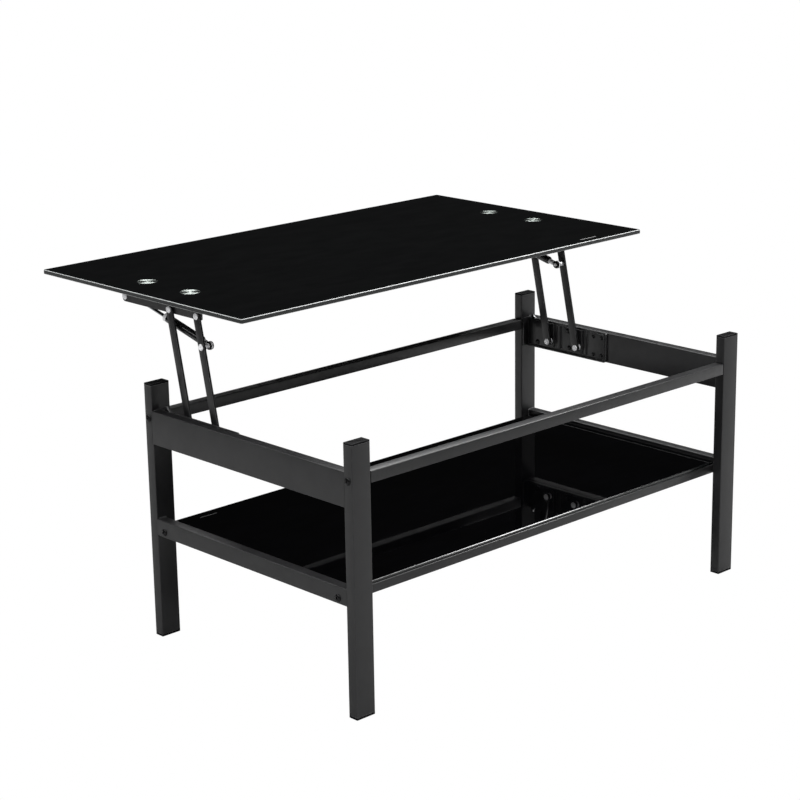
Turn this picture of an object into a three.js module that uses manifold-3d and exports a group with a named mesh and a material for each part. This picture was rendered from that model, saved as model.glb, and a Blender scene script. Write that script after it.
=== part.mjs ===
// Lift-top coffee table: a tubular steel frame with a glass shelf, and a glass top that
// two parallelogram linkages with gas struts carry up and towards the sitter.
// Millimetres, +Z up, X along the table, +Y towards the sitter. The top is shown lifted.

import * as THREE from 'three';
import { mergeVertices } from 'three/addons/utils/BufferGeometryUtils.js';
import Module from 'manifold-3d';

const wasm = await Module();
wasm.setup();

// ---------------------------------------------------------------- driving dimensions

const gap = 0.3;

const frameLength = 980;
const frameDepth = 536;
const legWidth = 40;
const legThickness = 20;
const tubeWall = 1.5;
const tubeCorner = 2;

const footHeight = 4;
const capTop = 470;
const capHeight = 3;
const plugDepth = 14;

const endRailThickness = 20;
const upperEndRail = { low: 361, high: 421 };
const lowerEndRail = { low: 193, high: 223 };
const upperLongRail = { low: 397, high: 417, thickness: 20 };
const lowerLongRail = { low: 195, high: 211, thickness: 20, centre: 228 };
const railPlug = 20;

const boltRadius = 4;
const boltHeadRadius = 6.6;
const boltHeadHeight = 3.6;
const boltSocketWidth = 5;
const boltSocketDepth = 2.2;
const boltHole = boltRadius + gap;

const shelfThickness = 5;
const shelfLength = 934;
const shelfDepth = 472;

const topLength = 1000;
const topDepth = 562;
const topThickness = 8;
const topCorner = 3;
const glassChamfer = 0.8;

const armReach = 224.5;
const armWidth = 16;
const pivotSpacing = 75;
const openLean = THREE.MathUtils.degToRad(11.9);
const liftSwing = THREE.MathUtils.degToRad(84.8);
const lowerPivotZ = 381.5;
const rearLowerPivotY = 182.5;
const frontLowerPivotY = rearLowerPivotY - pivotSpacing;
const pivotBelowGlass = 23;

// Where each layer of the linkage lies, measured out from the middle of the table.
const armLayer = { inner: 454, outer: 458 };
const bracketPlate = { inner: 466.7, outer: 469.7 };
const bracketRibInner = 463.7;
const bracketHeelInner = 452;
const flangeLayer = { inner: 450.7, outer: 453.7 };
const shelfFlangeInner = 414;
const strutLayer = 439;
const eyeHalfWidth = 4;

// The pressed lower bracket, seen square on: its plate, its pointed ear and its beads.
const bracketFace = { front: 36, low: 362, high: 421, corner: 4, thickness: 3 };
const bracketEar = { rear: 236.5, top: 428.2 };
const bracketHollow = { y: 222.3, z: 431, radius: 10 };
const bracketBeads = [{ y: 161, width: 20 }, { y: 89, width: 15 }];
const beadMargin = 4.5;
const beadRoot = 0.5;

const rivetHeadRadius = 5.75;
const rivetHeadHeight = 2.5;
const rivetRadius = 3.5;
const rivetBore = rivetRadius + gap;
const shoulderRadius = 6.5;

const discRadius = 20;
const discThickness = 1.5;
const discX = 432;
const discSpacing = 121;
const flangeThickness = 3;

const strutPinDrop = 53.5;
const strutAnchorY = 131;
const strutAnchorRise = 2.3;
const strutTubeRadius = 7.5;
const strutRodRadius = 3;
const strutPinRadius = 3.3;
const strutEyeRadius = 8;
const strutNeckRadius = 3.8;

// ---------------------------------------------------------------- derived places

const liftShift = armReach * (Math.sin(openLean) - Math.sin(openLean - liftSwing));
const rearUpperPivotY = rearLowerPivotY + armReach * Math.sin(openLean);
const frontUpperPivotY = rearUpperPivotY - pivotSpacing;
const upperPivotZ = lowerPivotZ + armReach * Math.cos(openLean);
const topLow = upperPivotZ + pivotBelowGlass;
const shelfLow = lowerLongRail.high + gap;

const strutArmY = frontLowerPivotY + (armReach - strutPinDrop) * Math.sin(openLean);
const strutArmZ = lowerPivotZ + (armReach - strutPinDrop) * Math.cos(openLean);
const strutTopY = rearUpperPivotY + strutAnchorY;
const strutTopZ = upperPivotZ + strutAnchorRise;
const strutReach = Math.hypot(strutTopY - strutArmY, strutTopZ - strutArmZ);
const strutLean = Math.atan2(strutTopY - strutArmY, strutTopZ - strutArmZ);

// The frame is set back so that the whole lifted table is centred on the origin.
const frameY = (frameDepth / 2 - liftShift - topDepth / 2) / 2;

const legX = frameLength / 2 - legWidth / 2;
const legY = frameDepth / 2 - legThickness / 2;
const bracketRear = legY - legThickness / 2 - 0.5;
const endRailX = frameLength / 2 - endRailThickness / 2;
const endRailLength = frameDepth - 2 * legThickness - 2 * gap;
const upperLongLength = frameLength - 2 * legWidth - 2 * gap;
const lowerLongLength = frameLength - 2 * endRailThickness - 2 * gap;
const upperBoltZ = (upperLongRail.low + upperLongRail.high) / 2;
const lowerBoltZ = (lowerLongRail.low + lowerLongRail.high) / 2;

// ---------------------------------------------------------------- materials

function finish(color, roughness, metalness) {
  return new THREE.MeshStandardMaterial({ color, roughness, metalness });
}

const powderCoat = () => finish(0x2c2c2e, 0.5, 0.3);
const blackPlastic = () => finish(0x17181a, 0.6, 0);
const blackGlass = () => finish(0x0b0c0e, 0.06, 0);
const brushedSteel = () => finish(0xb9c0bb, 0.35, 1);
const brightZinc = () => finish(0xc9ccd0, 0.3, 1);
const blackOxide = () => finish(0x222224, 0.45, 0.8);
const strutPaint = () => finish(0x161617, 0.35, 0.4);
const chrome = () => finish(0xd8dade, 0.12, 1);

// ---------------------------------------------------------------- helpers

const table = new THREE.Group();
table.position.y = frameY;

function add(name, geometry, material, x = 0, y = 0, z = 0) {
  const mesh = new THREE.Mesh(geometry, material);
  mesh.name = name;
  mesh.position.set(x, y, z);
  table.add(mesh);
  return mesh;
}

function toSolid(geometry) {
  const bare = geometry.clone();
  bare.deleteAttribute('normal');
  bare.deleteAttribute('uv');
  const merged = mergeVertices(bare, 1e-4);
  return new wasm.Manifold(new wasm.Mesh({
    numProp: 3,
    vertProperties: merged.attributes.position.array,
    triVerts: new Uint32Array(merged.index.array),
  }));
}

function toGeometry(solid) {
  const result = solid.getMesh();
  const geometry = new THREE.BufferGeometry();
  geometry.setAttribute('position', new THREE.BufferAttribute(result.vertProperties, 3));
  geometry.setIndex(new THREE.BufferAttribute(result.triVerts, 1));
  geometry.computeVertexNormals();
  return geometry;
}

function cut(geometry, tools) {
  const start = toSolid(geometry);
  return toGeometry(tools.reduce((solid, tool) => solid.subtract(toSolid(tool)), start));
}

function join(geometries) {
  return toGeometry(geometries.map(toSolid).reduce((all, piece) => all.add(piece)));
}

function box(x0, x1, y0, y1, z0, z1) {
  const geometry = new THREE.BoxGeometry(Math.abs(x1 - x0), y1 - y0, z1 - z0);
  return geometry.translate((x0 + x1) / 2, (y0 + y1) / 2, (z0 + z1) / 2);
}

// A closed rounded rectangle, centred on the origin, added to a shape or a hole.
function roundedRectangle(path, width, height, radius) {
  const halfW = width / 2;
  const halfH = height / 2;
  path.moveTo(-halfW + radius, -halfH);
  path.lineTo(halfW - radius, -halfH);
  path.absarc(halfW - radius, -halfH + radius, radius, -Math.PI / 2, 0, false);
  path.lineTo(halfW, halfH - radius);
  path.absarc(halfW - radius, halfH - radius, radius, 0, Math.PI / 2, false);
  path.lineTo(-halfW + radius, halfH);
  path.absarc(-halfW + radius, halfH - radius, radius, Math.PI / 2, Math.PI, false);
  path.lineTo(-halfW, -halfH + radius);
  path.absarc(-halfW + radius, -halfH + radius, radius, Math.PI, 1.5 * Math.PI, false);
  return path;
}

function roundedBar(width, height, radius, depth) {
  const shape = roundedRectangle(new THREE.Shape(), width, height, radius);
  return new THREE.ExtrudeGeometry(shape, { depth, bevelEnabled: false, curveSegments: 2 });
}

// A rectangular tube along +Z from z = 0, open at both ends.
function tube(width, height, length) {
  const shape = roundedRectangle(new THREE.Shape(), width, height, tubeCorner);
  const inside = roundedRectangle(new THREE.Path(), width - 2 * tubeWall,
    height - 2 * tubeWall, tubeCorner - tubeWall);
  shape.holes.push(inside);
  return new THREE.ExtrudeGeometry(shape, { depth: length, bevelEnabled: false, curveSegments: 2 });
}

// A sheet or bar drawn in the YZ plane and extruded along X between two layers of one side.
const drawnInYZ = new THREE.Matrix4().makeBasis(
  new THREE.Vector3(0, 1, 0), new THREE.Vector3(0, 0, 1), new THREE.Vector3(1, 0, 0));

function sidePlate(shape, side, inner, outer) {
  const settings = { depth: outer - inner, bevelEnabled: false, curveSegments: 6 };
  const geometry = new THREE.ExtrudeGeometry(shape, settings).applyMatrix4(drawnInYZ);
  return geometry.translate(side > 0 ? inner : -outer, 0, 0);
}

// A turned piece on the X axis of one side. Steps are [layer, radius] pairs, from the
// innermost layer outwards.
function turnedAcross(steps, side, segments = 12) {
  const profile = steps.map(([layer, radius]) => new THREE.Vector2(radius, layer));
  const geometry = new THREE.LatheGeometry(profile, segments);
  return geometry.rotateZ(side > 0 ? -Math.PI / 2 : Math.PI / 2);
}

function hole(radius, inner, outer, side, y = 0, z = 0) {
  return turnedAcross([[inner, 0], [inner, radius], [outer, radius], [outer, 0]], side)
    .translate(0, y, z);
}

// A low dome of the given height, as lathe steps going from its rim to its crown.
function domeSteps(base, height, radius, direction) {
  const steps = 2;
  return Array.from({ length: steps + 1 }, (_, i) => {
    const angle = (i / steps) * Math.PI / 2;
    return [base + direction * height * Math.sin(angle), radius * Math.cos(angle)];
  }).map(([layer, r]) => [layer, r < 1e-6 ? 0 : r]);
}

const sides = [['left', -1], ['right', 1]];
const rows = [['front', -1], ['rear', 1]];

// ---------------------------------------------------------------- legs, caps and feet

function legGeometry(side) {
  const low = footHeight + gap;
  const high = capTop - capHeight - gap;
  const wall = tube(legWidth, legThickness, high - low).translate(0, 0, low);
  const bolt = hole(boltHole, legX - legWidth, legX + legWidth, side, 0, upperBoltZ)
    .translate(-side * legX, 0, 0);
  return cut(wall, [bolt]);
}

// A moulded plug for a leg's end: a flange as wide as the tube, and a stem inside it.
function endPlugGeometry(height) {
  const chamfer = 0.8;
  const shape = roundedRectangle(new THREE.Shape(), legWidth - 2 * chamfer,
    legThickness - 2 * chamfer, tubeCorner - chamfer);
  const flange = new THREE.ExtrudeGeometry(shape, {
    depth: height - chamfer,
    bevelThickness: chamfer,
    bevelSize: chamfer,
    bevelSegments: 1,
    curveSegments: 2,
  });
  const under = box(-legWidth, legWidth, -legThickness, legThickness, -2 * chamfer, 0);
  const clear = 2 * (tubeWall + gap);
  const stem = roundedBar(legWidth - clear, legThickness - clear, 0.6, plugDepth + 1)
    .translate(0, 0, -plugDepth);
  return join([cut(flange, [under]), stem]);
}

for (const [sideName, side] of sides) {
  for (const [rowName, row] of rows) {
    const x = side * legX;
    const y = row * legY;
    add(`leg_${rowName}_${sideName}`, legGeometry(side), powderCoat(), x, y);
    add(`leg_cap_${rowName}_${sideName}`, endPlugGeometry(capHeight), blackPlastic(),
      x, y, capTop - capHeight);
    const foot = endPlugGeometry(footHeight).rotateX(Math.PI);
    add(`foot_${rowName}_${sideName}`, foot, blackPlastic(), x, y, footHeight);
  }
}

// ---------------------------------------------------------------- rails

function endRailGeometry(band, drilled, side) {
  const height = band.high - band.low;
  const rail = tube(endRailThickness, height, endRailLength)
    .rotateX(-Math.PI / 2).translate(0, -endRailLength / 2, 0);
  if (!drilled) return rail;
  const middle = (band.low + band.high) / 2;
  const drills = rows.map(([, row]) => hole(boltHole, endRailX - endRailThickness,
    endRailX + endRailThickness, side, row * lowerLongRail.centre, lowerBoltZ - middle)
    .translate(-side * endRailX, 0, 0));
  return cut(rail, drills);
}

// A long rail is a tube with a drilled plug welded into each end for its bolt.
function longRailGeometry(band, length) {
  const height = band.high - band.low;
  const bar = roundedBar(height, band.thickness, tubeCorner, length);
  const hollow = roundedBar(height - 2 * tubeWall, band.thickness - 2 * tubeWall, 0.5,
    length - 2 * railPlug).translate(0, 0, railPlug);
  const bore = new THREE.CylinderGeometry(boltHole, boltHole, length + 2, 12)
    .rotateX(Math.PI / 2).translate(0, 0, length / 2);
  return cut(bar, [hollow, bore]).rotateY(Math.PI / 2).translate(-length / 2, 0, 0);
}

for (const [sideName, side] of sides) {
  add(`upper_end_rail_${sideName}`, endRailGeometry(upperEndRail, false, side), powderCoat(),
    side * endRailX, 0, (upperEndRail.low + upperEndRail.high) / 2);
  add(`lower_end_rail_${sideName}`, endRailGeometry(lowerEndRail, true, side), powderCoat(),
    side * endRailX, 0, (lowerEndRail.low + lowerEndRail.high) / 2);
}
for (const [rowName, row] of rows) {
  add(`upper_${rowName}_rail`, longRailGeometry(upperLongRail, upperLongLength), powderCoat(),
    0, row * legY, upperBoltZ);
  add(`lower_${rowName}_rail`, longRailGeometry(lowerLongRail, lowerLongLength), powderCoat(),
    0, row * lowerLongRail.centre, lowerBoltZ);
}

// ---------------------------------------------------------------- frame bolts

// A button-head socket bolt: its head bears on the frame's end, its shank runs inwards.
function boltGeometry(side, shankEnd) {
  const seat = frameLength / 2 + gap;
  const crown = domeSteps(seat + 1, boltHeadHeight - 1, boltHeadRadius, 1);
  const body = turnedAcross([
    [shankEnd, 0],
    [shankEnd, boltRadius - 0.6],
    [shankEnd + 0.6, boltRadius],
    [seat, boltRadius],
    [seat, boltHeadRadius],
    ...crown,
  ], side);
  const across = boltSocketWidth / Math.sqrt(3);
  const socket = new THREE.CylinderGeometry(across, across, 2 * boltSocketDepth, 6)
    .rotateZ(Math.PI / 2).translate(side * (seat + boltHeadHeight), 0, 0);
  return cut(body, [socket]);
}

const upperShankEnd = legX - legWidth / 2 - railPlug + 2;
const lowerShankEnd = endRailX - endRailThickness / 2 - railPlug + 2;
for (const [sideName, side] of sides) {
  for (const [rowName, row] of rows) {
    add(`upper_bolt_${rowName}_${sideName}`, boltGeometry(side, upperShankEnd), blackOxide(),
      0, row * legY, upperBoltZ);
    add(`lower_bolt_${rowName}_${sideName}`, boltGeometry(side, lowerShankEnd), blackOxide(),
      0, row * lowerLongRail.centre, lowerBoltZ);
  }
}

// ---------------------------------------------------------------- glass shelf

function glassGeometry(length, depth, thickness, corner) {
  const shape = roundedRectangle(new THREE.Shape(), length - 2 * glassChamfer,
    depth - 2 * glassChamfer, corner - glassChamfer);
  return new THREE.ExtrudeGeometry(shape, {
    depth: thickness - 2 * glassChamfer,
    bevelThickness: glassChamfer,
    bevelSize: glassChamfer,
    bevelSegments: 1,
    curveSegments: 4,
  }).translate(0, 0, glassChamfer);
}

add('shelf_glass', glassGeometry(shelfLength, shelfDepth, shelfThickness, 3), blackGlass(),
  0, 0, shelfLow);

// ---------------------------------------------------------------- lower brackets

// The pressed plate's outline: a long rectangle with a pointed ear, hollowed in front.
function bracketOutline() {
  const { front, low, high, corner } = bracketFace;
  const hollow = bracketHollow;
  const hollowStart = Math.asin((bracketEar.top - hollow.z) / hollow.radius);
  const shape = new THREE.Shape();
  shape.moveTo(front + corner, low);
  shape.lineTo(bracketRear, low);
  shape.lineTo(bracketRear, high);
  shape.lineTo(bracketEar.rear + 1, high);
  shape.lineTo(bracketEar.rear, bracketEar.top);
  shape.absarc(hollow.y, hollow.z, hollow.radius, hollowStart, -Math.PI / 2, true);
  shape.lineTo(front + corner, high);
  shape.absarc(front + corner, high - corner, corner, Math.PI / 2, Math.PI, false);
  shape.lineTo(front, low + corner);
  shape.absarc(front + corner, low + corner, corner, Math.PI, 1.5 * Math.PI, false);
  return shape;
}

// A pressed bead that stands on the plate, half round, running up and down.
function bracketBead(side, y, width) {
  const height = bracketPlate.inner - bracketRibInner;
  const depth = bracketFace.high - bracketFace.low - 2 * beadMargin;
  const outline = new THREE.Shape();
  outline.moveTo(side * (bracketPlate.inner + beadRoot), y - width / 2);
  outline.lineTo(side * bracketPlate.inner, y - width / 2);
  outline.bezierCurveTo(side * (bracketPlate.inner - height * 1.3), y - width / 3,
    side * (bracketPlate.inner - height * 1.3), y + width / 3,
    side * bracketPlate.inner, y + width / 2);
  outline.lineTo(side * (bracketPlate.inner + beadRoot), y + width / 2);
  return new THREE.ExtrudeGeometry(outline, { depth, bevelEnabled: false, curveSegments: 8 })
    .translate(0, 0, bracketFace.low + beadMargin);
}

function lowerBracketGeometry(side) {
  const plate = sidePlate(bracketOutline(), side, bracketPlate.inner, bracketPlate.outer);
  const heel = box(side * bracketHeelInner, side * bracketPlate.outer,
    bracketRear - bracketFace.thickness, bracketRear, bracketFace.low, bracketFace.high);
  const beads = bracketBeads.map(({ y, width }) => bracketBead(side, y, width));
  const bores = [rearLowerPivotY, frontLowerPivotY].map((y) => hole(rivetBore,
    bracketPlate.inner - 5, bracketPlate.outer + 5, side, y, lowerPivotZ));
  return cut(join([plate, heel, ...beads]), bores);
}

function lowerRivetGeometry(side) {
  const headBase = armLayer.inner - gap;
  const head = domeSteps(headBase - 0.8, rivetHeadHeight - 0.8, rivetHeadRadius, -1).reverse();
  return turnedAcross([
    ...head,
    [headBase, rivetHeadRadius],
    [headBase, rivetRadius],
    [armLayer.outer + gap, rivetRadius],
    [armLayer.outer + gap, shoulderRadius],
    [bracketPlate.inner - gap, shoulderRadius],
    [bracketPlate.inner - gap, rivetRadius],
    [bracketPlate.outer - gap, rivetRadius],
    [bracketPlate.outer - gap, 0],
  ], side);
}

// ---------------------------------------------------------------- arms

function armGeometry(side, holesAlong) {
  const r = armWidth / 2;
  const shape = new THREE.Shape();
  shape.moveTo(r, 0);
  shape.lineTo(r, armReach);
  shape.absarc(0, armReach, r, 0, Math.PI, false);
  shape.lineTo(-r, 0);
  shape.absarc(0, 0, r, Math.PI, 2 * Math.PI, false);
  for (const along of holesAlong) {
    const bore = new THREE.Path();
    bore.absarc(0, along, rivetBore, 0, 2 * Math.PI, true);
    shape.holes.push(bore);
  }
  return sidePlate(shape, side, armLayer.inner, armLayer.outer);
}

function upperRivetGeometry(side) {
  const innerBase = flangeLayer.inner - gap;
  const outerBase = armLayer.outer + gap;
  return turnedAcross([
    [innerBase - 2.2, 0],
    [innerBase - 2.2, rivetHeadRadius - 1.2],
    [innerBase - 1, rivetHeadRadius],
    [innerBase, rivetHeadRadius],
    [innerBase, rivetRadius],
    [outerBase, rivetRadius],
    [outerBase, rivetHeadRadius],
    ...domeSteps(outerBase + 0.8, rivetHeadHeight - 0.8, rivetHeadRadius, 1),
  ], side);
}

function armRivetGeometry(side) {
  const outerBase = armLayer.outer + gap;
  return turnedAcross([
    [armLayer.inner, 0],
    [armLayer.inner, rivetRadius],
    [outerBase, rivetRadius],
    [outerBase, rivetHeadRadius],
    ...domeSteps(outerBase + 0.8, rivetHeadHeight - 0.8, rivetHeadRadius, 1),
  ], side);
}

// ---------------------------------------------------------------- top brackets

// An angle along the underside of the top: the upright flange holds the pivots, the level
// flange holds the two bonding discs.
function topBracketGeometry(side) {
  const frontEnd = frontUpperPivotY - 15;
  const r = 7;
  const levelTop = topLow - discThickness - 2 * gap;
  const shape = new THREE.Shape();
  shape.moveTo(frontEnd, upperPivotZ - r + 2);
  shape.lineTo(frontEnd + 2, upperPivotZ - r);
  shape.lineTo(strutTopY, upperPivotZ - r);
  shape.absarc(strutTopY, strutTopZ - strutAnchorRise, r, -Math.PI / 2, 0, false);
  shape.lineTo(strutTopY + r, strutTopZ + 8);
  shape.lineTo(strutTopY - 6, levelTop);
  shape.lineTo(frontEnd, levelTop);
  const upright = sidePlate(shape, side, flangeLayer.inner, flangeLayer.outer);
  const level = box(side * shelfFlangeInner, side * flangeLayer.outer, frontEnd,
    strutTopY - 6, levelTop - flangeThickness, levelTop);
  const bores = [rearUpperPivotY, frontUpperPivotY].map((y) => hole(rivetBore,
    flangeLayer.inner - 2, flangeLayer.outer + 2, side, y, upperPivotZ));
  bores.push(hole(strutPinRadius + gap, flangeLayer.inner - 2, flangeLayer.outer + 2, side,
    strutTopY, strutTopZ));
  return cut(join([upright, level]), bores);
}

// ---------------------------------------------------------------- gas struts

const eyeInner = strutLayer - eyeHalfWidth;
const eyeOuter = strutLayer + eyeHalfWidth;

function alongStrut(profile, segments) {
  const points = profile.map(([radius, along]) => new THREE.Vector2(radius, along));
  return new THREE.LatheGeometry(points, segments).rotateX(Math.PI / 2);
}

function eye(side, along) {
  return hole(strutEyeRadius, eyeInner, eyeOuter, side, 0, along);
}

function eyeBore(side, along) {
  return hole(strutPinRadius + gap, eyeInner - 1, eyeOuter + 1, side, 0, along);
}

// The pressure tube, from its eye on the arm to the gland that the rod passes through.
function strutCylinderGeometry(side) {
  const tubeStart = 20;
  const tubeEnd = 125;
  const cavityStart = 28;
  const cavityEnd = 117;
  const body = alongStrut([
    [0, 5],
    [strutNeckRadius, 5],
    [strutNeckRadius, 8],
    [strutNeckRadius + 1, 9],
    [strutNeckRadius + 1, tubeStart],
    [strutTubeRadius - 1, tubeStart],
    [strutTubeRadius, tubeStart + 1.5],
    [strutTubeRadius, tubeEnd - 1.5],
    [strutTubeRadius - 1, tubeEnd],
    [strutRodRadius + gap, tubeEnd],
    [strutRodRadius + gap, cavityEnd],
    [strutTubeRadius - 1, cavityEnd],
    [strutTubeRadius - 1, cavityStart],
    [0, cavityStart],
  ], 16).translate(side * strutLayer, 0, 0);
  return cut(join([body, eye(side, 0)]), [eyeBore(side, 0)]);
}

// The polished rod, with its piston inside the tube and its eye on the top bracket.
function strutRodGeometry(side) {
  const pistonStart = 106;
  const pistonEnd = 112;
  const body = alongStrut([
    [0, pistonStart],
    [strutTubeRadius - 1.4, pistonStart],
    [strutTubeRadius - 1.4, pistonEnd],
    [strutRodRadius, pistonEnd],
    [strutRodRadius, strutReach - 14],
    [strutNeckRadius, strutReach - 14],
    [strutNeckRadius, strutReach - 5],
    [0, strutReach - 5],
  ], 16).translate(side * strutLayer, 0, 0);
  return cut(join([body, eye(side, strutReach)]), [eyeBore(side, strutReach)]);
}

// The pin through the rod's eye, held in the top bracket's upright flange.
function strutTopPinGeometry(side) {
  const outerBase = flangeLayer.outer + gap;
  return turnedAcross([
    [eyeInner - gap - 2.5, 0],
    [eyeInner - gap - 2.5, 4],
    [eyeInner - gap - 1.5, 5],
    [eyeInner - gap, 5],
    [eyeInner - gap, strutPinRadius],
    [eyeOuter + gap, strutPinRadius],
    [eyeOuter + gap, 5.5],
    [flangeLayer.inner - gap, 5.5],
    [flangeLayer.inner - gap, strutPinRadius],
    [outerBase, strutPinRadius],
    [outerBase, rivetHeadRadius],
    ...domeSteps(outerBase + 0.8, rivetHeadHeight - 0.8, rivetHeadRadius, 1),
  ], side);
}

// The pin through the tube's eye. It stops just short of the arm that it works against.
function strutArmPinGeometry(side) {
  return turnedAcross([
    [eyeInner - gap - 2.5, 0],
    [eyeInner - gap - 2.5, 4],
    [eyeInner - gap - 1.5, 5],
    [eyeInner - gap, 5],
    [eyeInner - gap, strutPinRadius],
    [eyeOuter + gap, strutPinRadius],
    [eyeOuter + gap, 5],
    [armLayer.inner - gap, 5],
    [armLayer.inner - gap, 0],
  ], side);
}

// ---------------------------------------------------------------- lift linkages

for (const [sideName, side] of sides) {
  add(`lower_bracket_${sideName}`, lowerBracketGeometry(side), powderCoat());
  add(`top_bracket_${sideName}`, topBracketGeometry(side), powderCoat());

  const rearArm = add(`arm_rear_${sideName}`, armGeometry(side, [0, armReach]), powderCoat(),
    0, rearLowerPivotY, lowerPivotZ);
  const frontHoles = [0, armReach - strutPinDrop, armReach];
  const frontArm = add(`arm_front_${sideName}`, armGeometry(side, frontHoles), powderCoat(),
    0, frontLowerPivotY, lowerPivotZ);
  rearArm.rotation.x = -openLean;
  frontArm.rotation.x = -openLean;

  add(`pivot_lower_rear_${sideName}`, lowerRivetGeometry(side), brightZinc(),
    0, rearLowerPivotY, lowerPivotZ);
  add(`pivot_lower_front_${sideName}`, lowerRivetGeometry(side), brightZinc(),
    0, frontLowerPivotY, lowerPivotZ);
  add(`pivot_upper_rear_${sideName}`, upperRivetGeometry(side), brightZinc(),
    0, rearUpperPivotY, upperPivotZ);
  add(`pivot_upper_front_${sideName}`, upperRivetGeometry(side), brightZinc(),
    0, frontUpperPivotY, upperPivotZ);
  add(`arm_rivet_${sideName}`, armRivetGeometry(side), brightZinc(), 0, strutArmY, strutArmZ);

  const cylinder = add(`strut_cylinder_${sideName}`, strutCylinderGeometry(side), strutPaint(),
    0, strutArmY, strutArmZ);
  const rod = add(`strut_rod_${sideName}`, strutRodGeometry(side), chrome(),
    0, strutArmY, strutArmZ);
  cylinder.rotation.x = -strutLean;
  rod.rotation.x = -strutLean;
  add(`strut_top_pin_${sideName}`, strutTopPinGeometry(side), brightZinc(),
    0, strutTopY, strutTopZ);
  add(`strut_arm_pin_${sideName}`, strutArmPinGeometry(side), brightZinc(),
    0, strutArmY, strutArmZ);
}

// ---------------------------------------------------------------- glass top

add('top_glass', glassGeometry(topLength, topDepth, topThickness, topCorner), blackGlass(),
  0, liftShift, topLow);
for (const [sideName, side] of sides) {
  for (const [rowName, row] of rows) {
    const disc = new THREE.CylinderGeometry(discRadius, discRadius, discThickness, 32)
      .rotateX(Math.PI / 2);
    add(`disc_${rowName}_${sideName}`, disc, brushedSteel(), side * discX,
      liftShift + row * discSpacing / 2, topLow - gap - discThickness / 2);
  }
}

export default table;
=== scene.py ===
"""The looks of a lift-top coffee table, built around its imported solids.

The frame is welded steel tube with a powder coat, the shelf and the top are black glass, and
two parallelogram linkages with gas struts carry the top. Metres, +Z up, X along the table,
and +Y towards the sitter. Each class below is one sub-assembly: it takes its places from the
solids' boxes, models its pieces, dresses them with a finish and lets them ride on a body.
"""

import logging
import math
from collections.abc import Callable, Iterator, Sequence
from contextlib import contextmanager
from dataclasses import dataclass, field
from enum import Enum
from functools import cached_property

import bmesh
import bpy
from mathutils import Matrix, Vector


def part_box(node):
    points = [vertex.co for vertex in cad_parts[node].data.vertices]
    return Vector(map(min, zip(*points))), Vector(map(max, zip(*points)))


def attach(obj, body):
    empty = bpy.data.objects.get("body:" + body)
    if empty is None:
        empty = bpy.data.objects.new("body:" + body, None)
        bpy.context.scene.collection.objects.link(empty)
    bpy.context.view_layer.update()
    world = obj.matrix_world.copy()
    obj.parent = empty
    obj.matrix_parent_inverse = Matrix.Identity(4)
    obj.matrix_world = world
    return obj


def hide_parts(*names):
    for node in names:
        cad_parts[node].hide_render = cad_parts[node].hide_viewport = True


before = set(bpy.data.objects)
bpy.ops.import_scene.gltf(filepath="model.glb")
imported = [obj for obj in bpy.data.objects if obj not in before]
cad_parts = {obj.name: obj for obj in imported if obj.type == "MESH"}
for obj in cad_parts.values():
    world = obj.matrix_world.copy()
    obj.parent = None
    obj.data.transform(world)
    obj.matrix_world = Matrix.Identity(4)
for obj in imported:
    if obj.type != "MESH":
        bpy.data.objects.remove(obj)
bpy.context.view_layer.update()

MM = 0.001
FILM = 0.05 * MM  # the height left on the glass for print and window films
LOG = logging.getLogger("lift_top_table")

Piece = bpy.types.Object
Step = tuple[float, float]
Test = Callable[[Vector, Vector], bool]
Where = Callable[[Vector], bool]


# ---- named options

class Pair(Enum):
    """Two opposite sides of the table, each with the sign of its axis."""

    @property
    def word(self) -> str:
        """The side's name, as nodes and bodies spell it."""
        return self.name.lower()


class Side(Pair):
    """The two ends of the table."""

    LEFT = -1
    RIGHT = 1


class Row(Pair):
    """The two long edges of the table."""

    FRONT = -1
    REAR = 1


class Axis(Enum):
    """The three directions of the frame."""

    X = 0
    Y = 1
    Z = 2

    @property
    def way(self) -> Vector:
        """The direction as a unit vector."""
        return Vector(tuple(float(self.value == i) for i in range(3)))


X, Y, Z = (axis.way for axis in Axis)


class Picked(Enum):
    """What an edit works on."""

    EDGES = "EDGE"
    FACES = "FACE"


class Slot(Enum):
    """The record's material slots."""

    POWDER_COAT = "powder_coat"
    BLACK_PLASTIC = "black_plastic"
    BLACK_GLASS = "black_glass"
    DISC_STEEL = "disc_steel"
    RIVET_ZINC = "rivet_zinc"
    BLACK_BOLT = "black_bolt"
    STRUT_PAINT = "strut_paint"
    STRUT_CHROME = "strut_chrome"


# ---- places in the frame

def corners(node: str) -> tuple[Vector, Vector]:
    """The lowest and highest corner of a solid."""
    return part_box(node)


def middle(node: str) -> Vector:
    """The middle of a solid's box."""
    low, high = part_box(node)
    return (low + high) / 2


def reach_x(node: str, side: Side) -> tuple[float, float]:
    """A solid's inner and outer X at its end of the table."""
    inner, outer = sorted(abs(corner.x) for corner in corners(node))
    return side.value * inner, side.value * outer


def at_x(place: Vector, x: float) -> Vector:
    """The same place at another X."""
    return Vector((x, place.y, place.z))


def places() -> Iterator[tuple[Side, Row, str]]:
    """The table's four corners, each with the words that its solids share."""
    for side in Side:
        for row in Row:
            yield side, row, f"{row.word}_{side.word}"


# ---- modelling

def make_active(piece: Piece) -> None:
    """Selects one piece alone and makes it active."""
    bpy.ops.object.select_all(action="DESELECT")
    piece.select_set(True)
    bpy.context.view_layer.objects.active = piece


def settle(piece: Piece) -> Piece:
    """Puts a piece's place, turn and scale into its mesh."""
    make_active(piece)
    bpy.ops.object.transform_apply(location=True, rotation=True, scale=True)
    return piece


def christen(name: str) -> Piece:
    """Names the active piece and settles it."""
    piece = bpy.context.active_object
    piece.name = name
    piece.data.name = name
    return settle(piece)


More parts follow.
